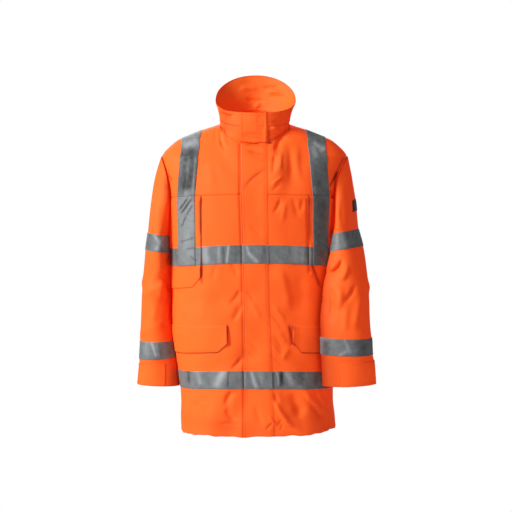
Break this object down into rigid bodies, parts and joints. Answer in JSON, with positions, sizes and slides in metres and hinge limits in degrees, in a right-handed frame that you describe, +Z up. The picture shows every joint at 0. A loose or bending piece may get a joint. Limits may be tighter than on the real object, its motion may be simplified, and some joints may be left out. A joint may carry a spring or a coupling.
{
  "type": "hi-vis work jacket",
  "caption": "Orange high-visibility work jacket in its worn, hollow shape, with silver reflective bands, tall collar, storm flap, pocket flaps and cuff tabs.",
  "frame": {"origin": "midway between the shoulders, at the height where the shoulder seams meet the collar, where the wearer carries the jacket", "axes": "+Z up, from hem to collar; the front faces -Y; the wearer's left is +X"},
  "size_m": [0.6448, 0.3319, 0.9685],
  "materials": {
    "shell_cloth": "matte woven polyester",
    "reflective_tape": "satin retroreflective",
    "badge": "matte",
    "zip": "matte"
  },
  "bodies": {
    "root": {"back": "shell_cloth", "back_brace_tape_left": "reflective_tape", "back_brace_tape_right": "reflective_tape", "brace_tape_left": "reflective_tape", "brace_tape_right": "reflective_tape", "chest_flap_left": "shell_cloth", "chest_flap_right": "shell_cloth", "chest_flap_tape_left": "reflective_tape", "chest_flap_tape_right": "reflective_tape", "chest_tape_back": "reflective_tape", "chest_tape_left": "reflective_tape", "chest_tape_right": "reflective_tape", "collar": "shell_cloth", "collar_flap": "shell_cloth", "cuff_tab_left": "shell_cloth", "cuff_tab_right": "shell_cloth", "front_lower_left": "shell_cloth", "front_lower_right": "shell_cloth", "front_yoke_left": "shell_cloth", "front_yoke_right": "shell_cloth", "front_zip": "zip", "hem_tape_back": "reflective_tape", "hem_tape_left": "reflective_tape", "hem_tape_right": "reflective_tape", "pocket_flap_left": "shell_cloth", "pocket_flap_right": "shell_cloth", "sleeve_badge": "badge", "sleeve_left": "shell_cloth", "sleeve_right": "shell_cloth", "sleeve_tape_lower_left": "reflective_tape", "sleeve_tape_lower_right": "reflective_tape", "sleeve_tape_upper_left": "reflective_tape", "sleeve_tape_upper_right": "reflective_tape", "storm_flap": "shell_cloth", "storm_flap_chest_tape": "reflective_tape", "storm_flap_hem_tape": "reflective_tape", "yoke_tape_left": "reflective_tape", "yoke_tape_right": "reflective_tape"}
  },
  "joints": []
}
